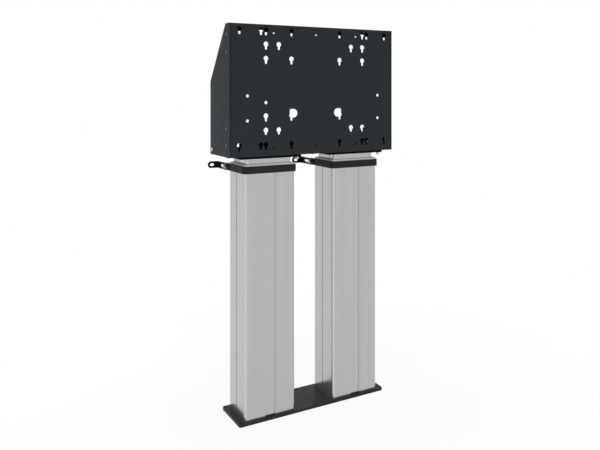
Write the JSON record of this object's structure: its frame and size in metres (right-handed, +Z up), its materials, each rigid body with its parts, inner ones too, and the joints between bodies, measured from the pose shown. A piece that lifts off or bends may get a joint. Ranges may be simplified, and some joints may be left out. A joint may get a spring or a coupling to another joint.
{
  "type": "tv lift mechanism",
  "caption": "Floor-standing electric display lift: telescopic aluminium columns on a steel base plate raise a black sheet-metal head box with keyhole mounting holes, open at the back.",
  "frame": {"origin": "middle of the base plate's underside, on the floor", "axes": "+Z up along the columns, the way the head rises; -Y to the front, the way the display faces; +X to the right as seen from the front, along the base's width"},
  "size_m": [0.6826, 0.25, 1.384],
  "materials": {
    "base_black": "satin black powder coat",
    "column_silver": "silver grey powder coat on extruded aluminium",
    "cap_plastic": "light grey moulded plastic",
    "wiper_felt": "black wiper lip",
    "glide_plastic": "white glide plastic",
    "band_black": "black painted strip",
    "bracket_zinc": "black painted strip",
    "bracket_black": "black powder coat",
    "head_black": "fine-textured black powder coat",
    "screw_black": "blackened steel",
    "zinc": "zinc-plated steel",
    "control_plastic": "black moulded plastic",
    "inlet_plastic": "black moulded plastic",
    "housing_aluminium": "cast aluminium",
    "motor_metal": "black painted steel can",
    "pulley_steel": "machined steel",
    "belt_rubber": "black reinforced rubber",
    "bright_steel": "bright steel",
    "nut_brass": "machined brass"
  },
  "bodies": {
    "floor_frame": {"base_plate": "base_black", "foot_tabs": "base_black", "base_screws": "screw_black", "strap_bolts": "zinc", "strap_nuts": "zinc", "outer_profile_left": "column_silver", "outer_profile_right": "column_silver", "column_cap_left": "cap_plastic", "column_cap_right": "cap_plastic", "wiper_seal_left": "wiper_felt", "wiper_seal_right": "wiper_felt", "upper_glides_left": "glide_plastic", "upper_glides_right": "glide_plastic", "band_clamp_left": "band_black", "band_clamp_right": "band_black", "rear_strap_left": "band_black", "rear_strap_right": "band_black", "nut_tube_left": "bright_steel", "nut_tube_right": "bright_steel", "spindle_nut_left": "nut_brass", "spindle_nut_right": "nut_brass"},
    "lifting_head": {"profile_screws": "screw_black", "bracket_bolts": "zinc", "bracket_nuts": "zinc", "front_plate": "head_black", "panel_screws": "screw_black", "rivet_nuts": "zinc", "tray": "head_black", "side_bolts": "zinc", "side_nuts": "zinc", "control_box": "control_plastic", "control_box_lid": "control_plastic", "mains_inlet": "inlet_plastic", "inner_profile_left": "column_silver", "inner_profile_right": "column_silver", "lower_glides_left": "glide_plastic", "lower_glides_right": "glide_plastic", "head_bracket_left": "bracket_black", "head_bracket_right": "bracket_black", "side_panel_left": "head_black", "side_panel_right": "head_black", "drive_housing_left": "housing_aluminium", "drive_housing_right": "housing_aluminium", "motor_left": "motor_metal", "motor_right": "motor_metal", "drive_belt_left": "belt_rubber", "drive_belt_right": "belt_rubber", "spindle_bearing_left": "bright_steel", "spindle_bearing_right": "bright_steel"},
    "spindle_left_turning": {"spindle_left": "bright_steel", "spindle_pulley_left": "pulley_steel"},
    "motor_shaft_left": {"motor_pulley_left": "pulley_steel"},
    "spindle_right_turning": {"spindle_right": "bright_steel", "spindle_pulley_right": "pulley_steel"},
    "motor_shaft_right": {"motor_pulley_right": "pulley_steel"},
    "wall_bracket_left_column_left_sliding": {"wall_bracket_left_column_left": "bracket_zinc"},
    "wall_bracket_left_column_right_sliding": {"wall_bracket_left_column_right": "bracket_zinc"},
    "wall_bracket_right_column_left_sliding": {"wall_bracket_right_column_left": "bracket_zinc"},
    "wall_bracket_right_column_right_sliding": {"wall_bracket_right_column_right": "bracket_zinc"}
  },
  "joints": [
    {"name": "lift", "type": "slide", "parent": "floor_frame", "child": "lifting_head", "axis": [0, 0, 1], "range_m": [0, 0.65]},
    {"name": "spindle_spin_left", "type": "hinge", "parent": "lifting_head", "child": "spindle_left_turning", "pos_m": [-0.208, 0, 0.9], "axis": [0, 0, 1], "range_deg": [-1, 29251]},
    {"name": "motor_spin_left", "type": "hinge", "parent": "lifting_head", "child": "motor_shaft_left", "pos_m": [-0.137, 0, 0.9], "axis": [0, 0, 1], "range_deg": [-1, 58501]},
    {"name": "spindle_spin_right", "type": "hinge", "parent": "lifting_head", "child": "spindle_right_turning", "pos_m": [0.144, 0, 0.9], "axis": [0, 0, 1], "range_deg": [-1, 29251]},
    {"name": "motor_spin_right", "type": "hinge", "parent": "lifting_head", "child": "motor_shaft_right", "pos_m": [0.215, 0, 0.9], "axis": [0, 0, 1], "range_deg": [-1, 58501]},
    {"name": "bracket_slide_left_column_left", "type": "slide", "parent": "floor_frame", "child": "wall_bracket_left_column_left_sliding", "axis": [0, -1, 0], "range_m": [0, 0.046]},
    {"name": "bracket_slide_left_column_right", "type": "slide", "parent": "floor_frame", "child": "wall_bracket_left_column_right_sliding", "axis": [0, -1, 0], "range_m": [0, 0.046]},
    {"name": "bracket_slide_right_column_left", "type": "slide", "parent": "floor_frame", "child": "wall_bracket_right_column_left_sliding", "axis": [0, -1, 0], "range_m": [0, 0.046]},
    {"name": "bracket_slide_right_column_right", "type": "slide", "parent": "floor_frame", "child": "wall_bracket_right_column_right_sliding", "axis": [0, -1, 0], "range_m": [0, 0.046]}
  ],
  "couplings": [
    {"joint": "spindle_spin_left", "follows": "lift", "rad_per_m": 785.4},
    {"joint": "motor_spin_left", "follows": "lift", "rad_per_m": 1570.8},
    {"joint": "spindle_spin_right", "follows": "lift", "rad_per_m": 785.4},
    {"joint": "motor_spin_right", "follows": "lift", "rad_per_m": 1570.8}
  ]
}
